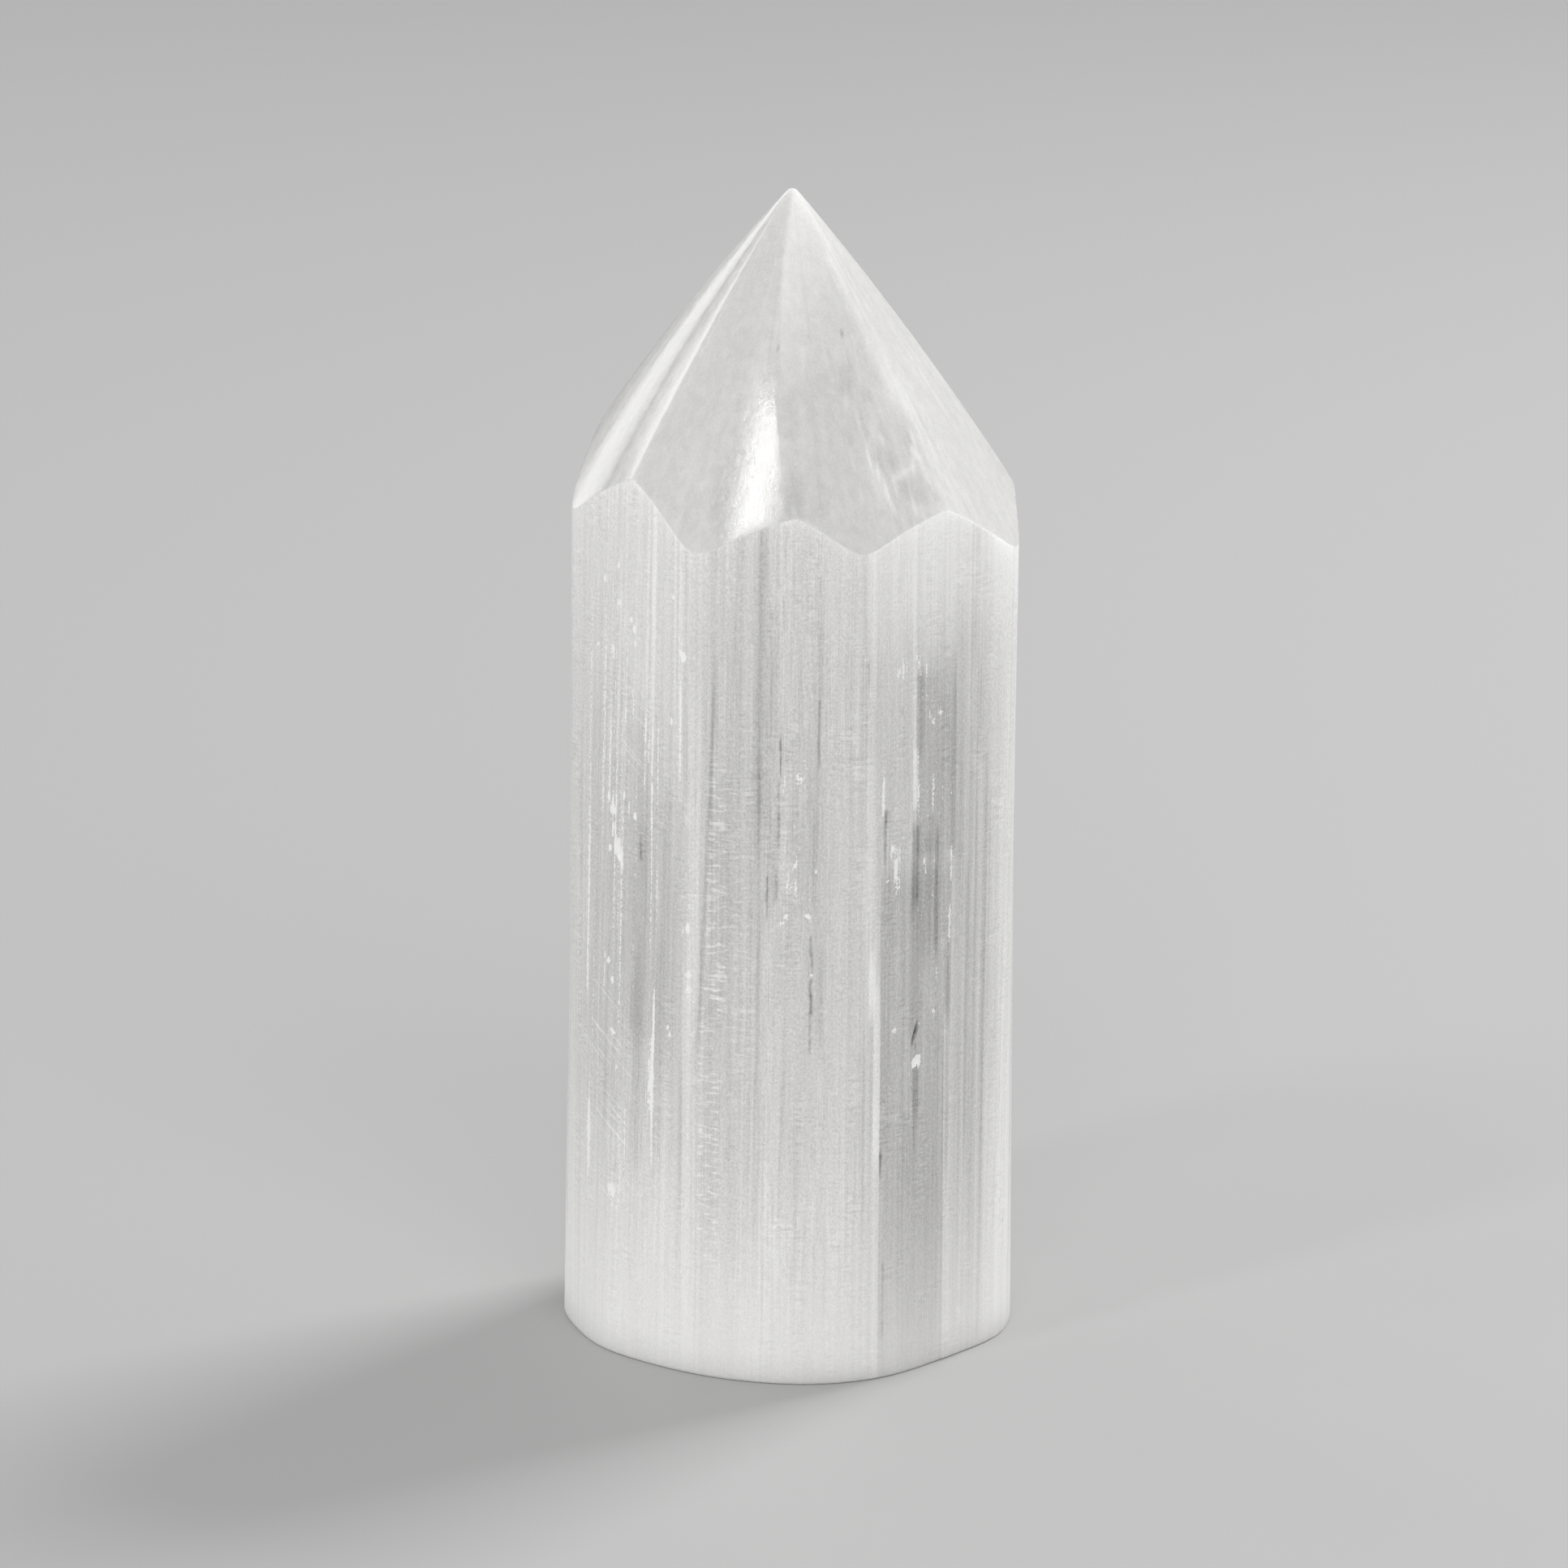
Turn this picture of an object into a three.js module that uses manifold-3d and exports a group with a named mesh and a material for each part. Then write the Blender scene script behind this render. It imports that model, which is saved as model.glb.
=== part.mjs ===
// A selenite point: one upright rod of satin-white gypsum, sawn flat at the foot and ground
// to a seven-sided tip. Millimetres, +Z up. The origin is the middle of the base, and the
// front of the stone faces -Y.
import * as THREE from 'three';
import { mergeVertices } from 'three/addons/utils/BufferGeometryUtils.js';
import Module from 'manifold-3d';

// Overall size
const HEIGHT = 100; // from the base to the worn top
const WORN_TOP = 0.35; // the tip is worn down this far below the point where its faces would meet
const TIP_OFFSET = -0.53; // the point stands this far along X from the axis of the rod

// The rod. Its section is given at two heights, and is blended evenly between them.
const SHOULDER_HEIGHT = 73;
const OUTLINE_POINTS = 144;
const EASED_EDGE = 0.25; // the small slope ground round the foot

// The flats of each section. An azimuth is in degrees from the front, towards +X, and a
// distance is from the axis of the rod to the flat. A higher sharpness turns more tightly
// from one flat to the next.
const SHOULDER_SECTION = {
  sharpness: 44,
  flats: [
    { azimuth: -96, distance: 18.7 },
    { azimuth: -52, distance: 17.85 },
    { azimuth: -12, distance: 19.3 },
    { azimuth: -3, distance: 18.95 },
    { azimuth: 41, distance: 18.3 },
    { azimuth: 47.5, distance: 18.7 },
    { azimuth: 93, distance: 18.75 },
    { azimuth: 125, distance: 19.0 },
    { azimuth: 152, distance: 19.3 },
    { azimuth: 180, distance: 19.0 },
    { azimuth: 208, distance: 19.2 },
    { azimuth: 244.5, distance: 17.0 },
  ],
};
const FOOT_SECTION = {
  sharpness: 20,
  flats: [
    { azimuth: -100, distance: 20.1 },
    { azimuth: -72, distance: 19.3 },
    { azimuth: -40, distance: 19.3 },
    { azimuth: -14, distance: 20.15 },
    { azimuth: 18, distance: 20.5 },
    { azimuth: 50, distance: 18.7 },
    { azimuth: 84, distance: 19.6 },
    { azimuth: 112, distance: 19.5 },
    { azimuth: 150, distance: 19.8 },
    { azimuth: 180, distance: 19.7 },
    { azimuth: 208, distance: 19.6 },
    { azimuth: 236, distance: 18.3 },
  ],
};

// The seven ground faces of the tip. At the top a face moves out by its slope for each
// millimetre down, and its belly makes it steeper the further down it goes.
const TIP_FACES = [
  { azimuth: -74, slope: 0.84, belly: 0.66 },
  { azimuth: -28, slope: 0.875, belly: 0.77 },
  { azimuth: 28.5, slope: 0.773, belly: 0.285 },
  { azimuth: 69.5, slope: 0.79, belly: 0.45 },
  { azimuth: 125, slope: 0.78, belly: 0.45 },
  { azimuth: 178, slope: 0.78, belly: 0.45 },
  { azimuth: 224.5, slope: 0.81, belly: 0.51 },
];
const CROWN = 0.43; // how round a face is across: 0 is flat and 1 is a full cone
// A crowned face is ground as three facets. Each touches the true face where the distance
// sideways from the face's middle is this share of the distance outwards.
const FACET_PLACES = [-0.33, 0, 0.33];
const TIP_FACE_DEPTH = 45; // each face is shaped this far down, past the rod's surface
const TIP_FACE_BENDS = 9; // the belly of a face is made of this many straight lengths
const CLEARANCE = 1; // a cutting block passes the stone by this much
const BLOCK_REACH = 60; // a cutting block is wider than the stone

const wasm = await Module();
wasm.setup();

function radians(degrees) {
  return THREE.MathUtils.degToRad(degrees);
}

// The direction of an azimuth, seen from above
function direction(azimuth) {
  return new THREE.Vector2(Math.sin(radians(azimuth)), -Math.cos(radians(azimuth)));
}

// How far a section reaches from the axis of the rod at an azimuth. The flats are blended, so
// that each corner between two of them is rounded.
function sectionRadius(section, azimuth) {
  let sum = 0;
  for (const flat of section.flats) {
    const facing = Math.cos(radians(azimuth - flat.azimuth));
    if (facing > 0) {
      sum += (facing / flat.distance) ** section.sharpness;
    }
  }
  return sum ** (-1 / section.sharpness);
}

// The outline of the rod at a height, made smaller all round by an inset
function rodOutline(height, inset) {
  const share = height / SHOULDER_HEIGHT;
  const points = [];
  for (let i = 0; i < OUTLINE_POINTS; i += 1) {
    const azimuth = (i * 360) / OUTLINE_POINTS;
    const foot = sectionRadius(FOOT_SECTION, azimuth);
    const shoulder = sectionRadius(SHOULDER_SECTION, azimuth);
    const radius = THREE.MathUtils.lerp(foot, shoulder, share) - inset;
    points.push(direction(azimuth).multiplyScalar(radius));
  }
  return points;
}

// The rod before its tip is ground. The foot's outline is extruded through three levels, then
// each point of it moves to where it lies in the outline of its own level.
function rodGeometry() {
  const levels = [
    { height: 0, inset: EASED_EDGE },
    { height: EASED_EDGE, inset: 0 },
    { height: HEIGHT, inset: 0 },
  ];
  const outlines = levels.map((level) => rodOutline(level.height, level.inset));
  const steps = levels.length - 1;
  const shape = new THREE.Shape(outlines[0]);
  const geometry = new THREE.ExtrudeGeometry(shape, { depth: steps, steps, bevelEnabled: false });
  const position = geometry.getAttribute('position');
  for (let i = 0; i < position.count; i += 1) {
    const level = Math.round(position.getZ(i));
    const azimuth = THREE.MathUtils.radToDeg(Math.atan2(position.getX(i), -position.getY(i)));
    const place = Math.round((azimuth * OUTLINE_POINTS) / 360);
    const point = outlines[level][THREE.MathUtils.euclideanModulo(place, OUTLINE_POINTS)];
    position.setXYZ(i, point.x, point.y, levels[level].height);
  }
  return geometry;
}

// The block that keeps what lies behind one facet of a tip face. Its side view is drawn with X
// out of the stone and Y up, and is then turned to the facet's azimuth.
function facetBlock(face, place) {
  const turn = Math.atan(CROWN * place);
  const reach = Math.sqrt(1 + CROWN * place ** 2) * Math.cos(turn);
  const pointHeight = HEIGHT + WORN_TOP;
  const sideView = new THREE.Shape();
  sideView.moveTo(-BLOCK_REACH, -CLEARANCE);
  for (let i = TIP_FACE_BENDS; i >= 0; i -= 1) {
    const depth = (i * TIP_FACE_DEPTH) / TIP_FACE_BENDS;
    const out = reach * face.slope * (depth - (face.belly * depth ** 2) / 100);
    if (i === TIP_FACE_BENDS) {
      sideView.lineTo(out, -CLEARANCE);
    }
    sideView.lineTo(out, pointHeight - depth);
  }
  sideView.lineTo(-BLOCK_REACH, pointHeight);
  const geometry = new THREE.ExtrudeGeometry(sideView, { depth: 2 * BLOCK_REACH, bevelEnabled: false });
  geometry.translate(0, 0, -BLOCK_REACH);
  geometry.rotateX(Math.PI / 2);
  geometry.rotateZ(radians(face.azimuth - 90) + turn);
  geometry.translate(TIP_OFFSET, 0, 0);
  return geometry;
}

function toSolid(geometry) {
  geometry.deleteAttribute('normal');
  geometry.deleteAttribute('uv');
  const merged = mergeVertices(geometry);
  const vertProperties = new Float32Array(merged.getAttribute('position').array);
  const triVerts = new Uint32Array(merged.getIndex().array);
  return new wasm.Manifold(new wasm.Mesh({ numProp: 3, vertProperties, triVerts }));
}

function toGeometry(solid) {
  const mesh = solid.getMesh();
  const geometry = new THREE.BufferGeometry();
  geometry.setAttribute('position', new THREE.BufferAttribute(mesh.vertProperties, 3));
  geometry.setIndex(new THREE.BufferAttribute(mesh.triVerts, 1));
  return geometry;
}

// The rod with its tip ground, moved so that the origin is the middle of its box
function pointGeometry() {
  let solid = toSolid(rodGeometry());
  for (const face of TIP_FACES) {
    for (const place of FACET_PLACES) {
      solid = solid.intersect(toSolid(facetBlock(face, place)));
    }
  }
  const geometry = toGeometry(solid);
  geometry.computeBoundingBox();
  const middle = geometry.boundingBox.getCenter(new THREE.Vector3());
  geometry.translate(-middle.x, -middle.y, 0);
  geometry.computeVertexNormals();
  return geometry;
}

const satinGypsum = new THREE.MeshStandardMaterial({
  name: 'satin_gypsum',
  color: 0xdcdbd7,
  roughness: 0.35,
  metalness: 0,
});

const selenitePoint = new THREE.Mesh(pointGeometry(), satinGypsum);
selenitePoint.name = 'selenite_point';

const part = new THREE.Group();
part.add(selenitePoint);

export default part;
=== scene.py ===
"""The looks of a selenite point: a fibrous, satin-white rod with a polished, faceted tip."""

import math

import bpy
import numpy as np
from mathutils import Matrix, Quaternion, Vector


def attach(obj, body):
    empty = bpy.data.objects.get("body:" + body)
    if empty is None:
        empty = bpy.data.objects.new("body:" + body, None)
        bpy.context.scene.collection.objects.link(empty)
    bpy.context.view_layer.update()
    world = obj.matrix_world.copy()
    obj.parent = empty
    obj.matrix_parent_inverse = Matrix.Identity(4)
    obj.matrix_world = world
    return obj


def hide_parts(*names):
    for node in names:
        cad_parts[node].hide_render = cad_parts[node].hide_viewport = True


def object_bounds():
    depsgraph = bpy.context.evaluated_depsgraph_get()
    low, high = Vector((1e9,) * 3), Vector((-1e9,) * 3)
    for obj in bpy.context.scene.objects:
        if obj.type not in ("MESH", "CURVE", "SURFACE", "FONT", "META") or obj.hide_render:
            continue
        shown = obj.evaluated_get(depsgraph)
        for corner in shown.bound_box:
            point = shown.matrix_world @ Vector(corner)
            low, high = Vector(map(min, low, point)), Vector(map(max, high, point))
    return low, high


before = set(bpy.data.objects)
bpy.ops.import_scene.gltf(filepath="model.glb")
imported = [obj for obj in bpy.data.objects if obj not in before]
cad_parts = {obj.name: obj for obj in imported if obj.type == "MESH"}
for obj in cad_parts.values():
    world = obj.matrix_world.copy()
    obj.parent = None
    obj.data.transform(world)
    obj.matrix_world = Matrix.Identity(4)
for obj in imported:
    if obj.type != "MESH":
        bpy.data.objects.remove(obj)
cad_low, cad_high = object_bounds()

MM = 0.001
NODE = "selenite_point"

# The form, in millimetres. Azimuths are in degrees from the front (-Y), towards +X.
HEIGHT = cad_high.z / MM
WORN_TOP = 0.35
WORN_TOP_ROUNDING = 3
TIP_OFFSET = (-0.53, 0.0)
EASED_EDGE = 0.25
# The rod's section at the shoulder and at the foot: how tightly it turns from one flat to the
# next, then each flat's azimuth and distance from the axis. In between they are blended.
SHOULDER_HEIGHT = 73
SHOULDER_SECTION = (44, [
    (-96, 18.7), (-52, 17.85), (-12, 19.3), (-3, 18.95), (41, 18.3), (47.5, 18.7),
    (93, 18.75), (125, 19.0), (152, 19.3), (180, 19.0), (208, 19.2), (244.5, 17.0),
])
FOOT_SECTION = (20, [
    (-100, 20.1), (-72, 19.3), (-40, 19.3), (-14, 20.15), (18, 20.5), (50, 18.7),
    (84, 19.6), (112, 19.5), (150, 19.8), (180, 19.7), (208, 19.6), (236, 18.3),
])
SETTLING_ROUNDS = 8  # the shoulder's height is found in this many rounds
# Each face of the tip: azimuth, slope at the top, belly
TIP_FACES = [(-74, 0.84, 0.66), (-28, 0.875, 0.77), (28.5, 0.773, 0.285), (69.5, 0.79, 0.45),
             (125, 0.78, 0.45), (178, 0.78, 0.45), (224.5, 0.81, 0.51)]
CROWN = 0.43  # how round a tip face is across: 0 is flat, 1 is a full cone
RIDGE_SHARPNESS = 220
TINY = 1e-6  # keeps a divisor or a root above zero

# The tip's painted light, in tones where -1 is dark and 1 is pale. The first are those of its faces,
# in the same order: painted shading, each face lighter or darker as the light falls on it. The face
# to the right of the ridge at the front also has a painted reflection, a pale strip along that
# ridge, and a painted light on its top, and both fade in above a height. The strip's width and
# edge are in millimetres of depth past the ridge.
FACE_SHADING_TONES = [0.0, -0.45, -1.0, -0.3, 0.2, -0.2, 0.1]
FRONT_LEFT, FRONT_RIGHT = 1, 2  # the faces beside that ridge
REFLECTION_STRIP_TONE = 1.3
REFLECTION_STRIP_WIDTH = 1.7
REFLECTION_STRIP_EDGE = 0.2
REFLECTION_STRIP_LOW = 84
LIT_TOP_TONE = 0.7
LIT_TOP_LOW = 90
TIP_LIGHT_FADE = 4

# The mesh
ROD_COLUMNS = 1440
TIP_COLUMNS = 480
COLUMN_RATIO = ROD_COLUMNS // TIP_COLUMNS
ROD_ROWS = 28
TIP_ROWS = 60
FINE_STEPS = 9  # a row is cut into this many where the surface has small marks
EDGE_WIDTH = 0.14  # the crease between the rod and the tip is softened over this width
# The two upper rings of that crease lie this far in, as shares of its width
CREASE_OUTER = 0.12
CREASE_INNER = 0.55
CAP_INSET = 0.6  # the flat foot has a ring this far in from its edge
EDGE_BEND = 0.3  # the eased edge bulges: its middle ring lies at this share of it, in and up
RIM_GLOW_TONE = 1.6  # a painted glow: the eased edge is paler by this much


def directions(azimuth):
    """Unit vectors seen from above."""
    angle = np.radians(azimuth)
    return np.stack([np.sin(angle), -np.cos(angle)], -1)


def section_radius(section, azimuth):
    """A section's reach from the rod's axis. The flats are blended at their corners."""
    sharpness, flats = section
    flats = np.array(flats, float)
    facing = np.cos(np.radians(np.asarray(azimuth)[..., None] - flats[:, 0]))
    share = np.where(facing > 0, facing / flats[:, 1], 0)
    return (share ** sharpness).sum(-1) ** (-1 / sharpness)


def rod_radius(azimuth, z):
    """The rod's reach from its axis at an azimuth and a height."""
    foot = section_radius(FOOT_SECTION, azimuth)
    return foot + (section_radius(SHOULDER_SECTION, azimuth) - foot) * z / SHOULDER_HEIGHT


def tip_depths(xy):
    """How far below the meeting point of its faces the tip is, by each of them."""
    faces = np.array(TIP_FACES, float)
    outward = directions(faces[:, 0])
    sideways = np.stack([outward[:, 1], -outward[:, 0]], -1)
    place = xy - np.array(TIP_OFFSET)
    out = place @ outward.T
    side = place @ sideways.T
    reach = np.where(out > 0, np.sqrt(out ** 2 + CROWN * side ** 2), 0) / faces[:, 1]
    belly = faces[:, 2] / 100
    return (1 - np.sqrt(np.maximum(1 - 4 * belly * reach, TINY))) / (2 * belly)


def tip_height(xy):
    """The height of the ground tip over points seen from above."""
    depth = tip_depths(xy)
    deepest = np.maximum(depth.max(-1, keepdims=True), TINY)
    depth = deepest[..., 0] * ((depth / deepest) ** RIDGE_SHARPNESS).sum(-1) ** (1 / RIDGE_SHARPNESS)
    depth = (depth ** WORN_TOP_ROUNDING + WORN_TOP ** WORN_TOP_ROUNDING) ** (1 / WORN_TOP_ROUNDING)
    return HEIGHT + WORN_TOP - depth


def tip_painted_light(xy, z):
    """The tip's painted light: the painted shading of its faces, a painted reflection in a pale strip
    along the ridge at the front, and a painted light on the top of the face right of that ridge.
    """
    depth = tip_depths(xy)
    deepest = np.maximum(depth.max(-1, keepdims=True), TINY)
    share = (depth / deepest) ** (2 * RIDGE_SHARPNESS)
    share /= np.maximum(share.sum(-1, keepdims=True), TINY)
    tone = (share * np.array(FACE_SHADING_TONES)).sum(-1)
    # A painted reflection in a strip past the ridge, and a painted light on the top of the face right
    # of it
    past_ridge = depth[:, FRONT_RIGHT] - depth[:, FRONT_LEFT]
    strip = np.exp(-(past_ridge / REFLECTION_STRIP_WIDTH) ** 2) * np.clip(past_ridge / REFLECTION_STRIP_EDGE, 0, 1)
    strip_rise = np.clip((z - REFLECTION_STRIP_LOW) / TIP_LIGHT_FADE, 0, 1)
    top = share[:, FRONT_RIGHT] * np.clip((z - LIT_TOP_LOW) / TIP_LIGHT_FADE, 0, 1)
    return tone + REFLECTION_STRIP_TONE * strip * strip_rise + LIT_TOP_TONE * top


def shoulder_height(azimuth):
    """Where the tip cuts the side of the rod, at each azimuth."""
    z = np.full(len(azimuth), float(SHOULDER_HEIGHT))
    for _ in range(SETTLING_ROUNDS):
        z = tip_height(directions(azimuth) * rod_radius(azimuth, z)[:, None])
    return z


# The marks on the surface. Azimuths are in degrees, heights and widths in millimetres, and an
# amount is a tone, where -1 is dark and 1 is pale, or a relief in millimetres. Marks that overlap
# add up.
MARKS_SEED = 7
ROD_TOP = 80  # the rod's sheets reach this high, past its shoulder
TIP_LOW, TIP_HIGH = 66, 101  # the tip's sheet lies between these heights
DEGREE_WIDTH = 0.335  # millimetres along the rod's surface
SHEET_COLUMNS = 2880
FINE_STEP, COARSE_STEP = 0.2, 1.0  # the height of a sheet's cells
CRACK_DEPTH = 0.05
FINE_MARGIN = 0.5  # the finer mesh at a mark reaches this many degrees past it
NICK_MARGIN = 2.2  # and at a nick it is this many times as wide as the nick


class Sheet:
    """A side of the stone unrolled: azimuth across and height up. Marks are drawn on it."""

    def __init__(self, low, high, step):
        self.low, self.step = low, step
        self.rows = int((high - low) / step) + 1
        self.values = np.zeros((self.rows, SHEET_COLUMNS))
        self.heights = low + np.arange(self.rows) * step

    def window(self, azimuth, reach, low, high):
        """The rows and columns of a region, with their heights and distances across in mm."""
        span = int(np.ceil(reach / DEGREE_WIDTH * SHEET_COLUMNS / 360)) + 1
        middle = int(round(azimuth % 360 * SHEET_COLUMNS / 360))
        columns = np.arange(middle - span, middle + span + 1)
        rows = np.nonzero((self.heights > low) & (self.heights < high))[0]
        across = (columns * 360 / SHEET_COLUMNS - azimuth % 360) * DEGREE_WIDTH
        return np.ix_(rows, columns % SHEET_COLUMNS), self.heights[rows][:, None], across[None, :]

    def streak(self, azimuth, width, low, high, amount, fade=3.0, lean=0.0):
        """A soft line along the fibres. A lean is sideways millimetres for each one up."""
        reach = 2 * width + abs(lean) * (high - low)
        cells, z, across = self.window(azimuth, reach, low - fade, high + fade)
        along = np.clip((z - low) / fade + 1, 0, 1) * np.clip((high - z) / fade + 1, 0, 1)
        away = (across - lean * (z - (low + high) / 2)) / (width / 2)
        self.values[cells] += amount * np.exp(-0.5 * away ** 2) * along

    def streaks(self, rows, **settings):
        """Soft lines, each given by its azimuth, width, low and high end, and amount."""
        for row in rows:
            self.streak(*row, **settings)

    def dash(self, azimuth, width, middle, length, amount, fade=3.0):
        """A soft line given by its middle and length."""
        self.streak(azimuth, width, middle - length / 2, middle + length / 2, amount, fade)

    def band(self, azimuth, width, low, high, amount, fade, edge):
        """A stripe of even strength with its own edge width."""
        cells, z, across = self.window(azimuth, width, low - fade, high + fade)
        along = np.clip((z - low) / fade + 1, 0, 1) * np.clip((high - z) / fade + 1, 0, 1)
        side = np.clip((width / 2 - np.abs(across)) / edge + 0.5, 0, 1)
        self.values[cells] += amount * side * along

    def spot(self, azimuth, z, width, height, amount, lean=0.0):
        """An oval mark that fades from half its radius to one and a half. A lean turns it
        clockwise, in degrees."""
        reach = max(width, height)
        cells, heights, across = self.window(azimuth, reach, z - reach, z + reach)
        turn = math.radians(lean)
        u = (across * math.cos(turn) - (heights - z) * math.sin(turn)) / (width / 2)
        v = (across * math.sin(turn) + (heights - z) * math.cos(turn)) / (height / 2)
        away = np.sqrt(u ** 2 + v ** 2)
        self.values[cells] += amount * np.clip(1.5 - away, 0, 1)

    def cloud(self, azimuth, z, width, height, amount):
        """A broad soft patch. Its width is in degrees."""
        azimuths = np.arange(SHEET_COLUMNS) * 360 / SHEET_COLUMNS
        away = ((azimuths - azimuth + 180) % 360 - 180) / (width / 2)
        up = (self.heights - z) / (height / 2)
        self.values += amount * np.exp(-0.5 * (away[None, :] ** 2 + up[:, None] ** 2))

    def near_foot(self, reach):
        """From 1 at the foot to 0 at a height, for each row."""
        return np.clip(1 - self.heights / reach, 0, 1)[:, None]

    def sample(self, azimuth, z):
        """Values at scattered places, blended between the sheet's cells."""
        u = (azimuth % 360) * SHEET_COLUMNS / 360
        v = np.clip((z - self.low) / self.step, 0, self.rows - 1.001)
        left, low = np.floor(u).astype(int), np.floor(v).astype(int)
        fu, fv = u - left, v - low
        left %= SHEET_COLUMNS
        right = (left + 1) % SHEET_COLUMNS
        lower = self.values[low, left] * (1 - fu) + self.values[low, right] * fu
        upper = self.values[low + 1, left] * (1 - fu) + self.values[low + 1, right] * fu
        return lower * (1 - fv) + upper * fv


class Marks:
    """All that is drawn on the stone: the rod's relief, tone with its painted glow, whiteness,
    hatching, scratches and calm, which weakens its details, and the tone of the tip with its painted
    light."""

    def __init__(self):
        self.rng = np.random.default_rng(MARKS_SEED)
        self.relief, self.tone, self.white = (Sheet(0, ROD_TOP, FINE_STEP) for _ in range(3))
        self.hatch, self.scratch, self.calm = (Sheet(0, ROD_TOP, COARSE_STEP) for _ in range(3))
        self.tip = Sheet(TIP_LOW, TIP_HIGH, FINE_STEP)
        self.fine_places = []

    def finer(self, azimuth, width, low, high):
        """The mesh gets extra rows here."""
        self.fine_places.append((azimuth, width / DEGREE_WIDTH, low, high))

    def fine_columns(self, azimuths, low, high):
        """Which columns need the extra rows between two heights."""
        chosen = np.zeros(len(azimuths), bool)
        for azimuth, width, start, end in self.fine_places:
            away = np.abs((azimuths - azimuth + 180) % 360 - 180)
            chosen |= (away < width / 2 + FINE_MARGIN) & (high > start) & (low < end)
        return chosen

    def nick(self, azimuth, z, width, height, depth, lean=0.0, whiteness=1.5):
        """A small chip, bruised white."""
        self.relief.spot(azimuth, z, width, height, -depth, lean)
        self.white.spot(azimuth, z, width, height, whiteness, lean)
        self.finer(azimuth, NICK_MARGIN * width, z - height, z + height)

    def ragged_nick(self, azimuth, z, width, height, depth, count):
        """A larger chip, made of small ones."""
        for _ in range(count):
            along = self.rng.uniform(-0.5, 0.5) * height
            across = self.rng.uniform(-0.5, 0.5) * width
            wide = self.rng.uniform(0.2, 0.45) * min(width, height)
            tall = wide * self.rng.uniform(1, 1.8)
            self.nick(azimuth + across / DEGREE_WIDTH, z + along, wide, tall, depth)

    def crack(self, azimuth, low, high, amount, width=0.14):
        """A thin dark split along the fibres, darker in some lengths than in others."""
        self.relief.streak(azimuth, width, low, high, -CRACK_DEPTH, fade=0.5)
        z = low
        while z < high:
            length = self.rng.uniform(0.5, 1.8)
            side = self.rng.normal(0, 0.08)
            wide = width * self.rng.uniform(0.7, 1.2)
            dark = amount * self.rng.uniform(0.4, 1)
            self.tone.streak(azimuth + side, wide, z, min(z + length, high), dark, fade=0.3)
            z += length * self.rng.uniform(0.8, 1.2)
        self.finer(azimuth, 4 * width, low - 0.5, high + 0.5)

    def feather(self, azimuth, width, low, high, count, amount):
        """A patch of white flakes where the fibres have parted just under the surface."""
        for _ in range(count):
            middle = self.rng.uniform(low, high)
            length = self.rng.uniform(0.2, 1.4)
            place = azimuth + self.rng.uniform(-0.5, 0.5) * width / DEGREE_WIDTH
            wide = self.rng.uniform(0.08, 0.18)
            pale = amount * self.rng.uniform(0.2, 1)
            self.white.dash(place, wide, middle, length, pale, fade=0.3)
        self.finer(azimuth, width, low - 1, high + 1)


def draw_fibres(marks):
    """The fibres all round the rod: broad bands, then bundles of fine lines."""
    rng = marks.rng

    def fibre(azimuth, widths, lengths, depth, contrast):
        width = rng.uniform(*widths)
        length = rng.uniform(*lengths)
        middle = rng.uniform(-5, ROD_TOP)
        amount = rng.choice((-1, 1)) * rng.uniform(0.3, 1)
        marks.relief.dash(azimuth, width, middle, length, amount * depth)
        marks.tone.dash(azimuth, width, middle, length, amount * contrast)

    for count, widths, lengths, depth, contrast in (
        (70, (1.5, 4.0), (25, 90), 0.020, 0.10),
        (260, (0.35, 1.0), (10, 80), 0.005, 0.12),
    ):
        for _ in range(count):
            fibre(rng.uniform(0, 360), widths, lengths, depth, contrast)
    for _ in range(110):
        centre = rng.uniform(0, 360)
        spread = rng.uniform(1, 5)
        contrast = rng.uniform(0.06, 0.26)
        for _ in range(rng.integers(8, 22)):
            fibre(rng.normal(centre, spread), (0.11, 0.30), (8, 60), 0.003, contrast)


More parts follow.
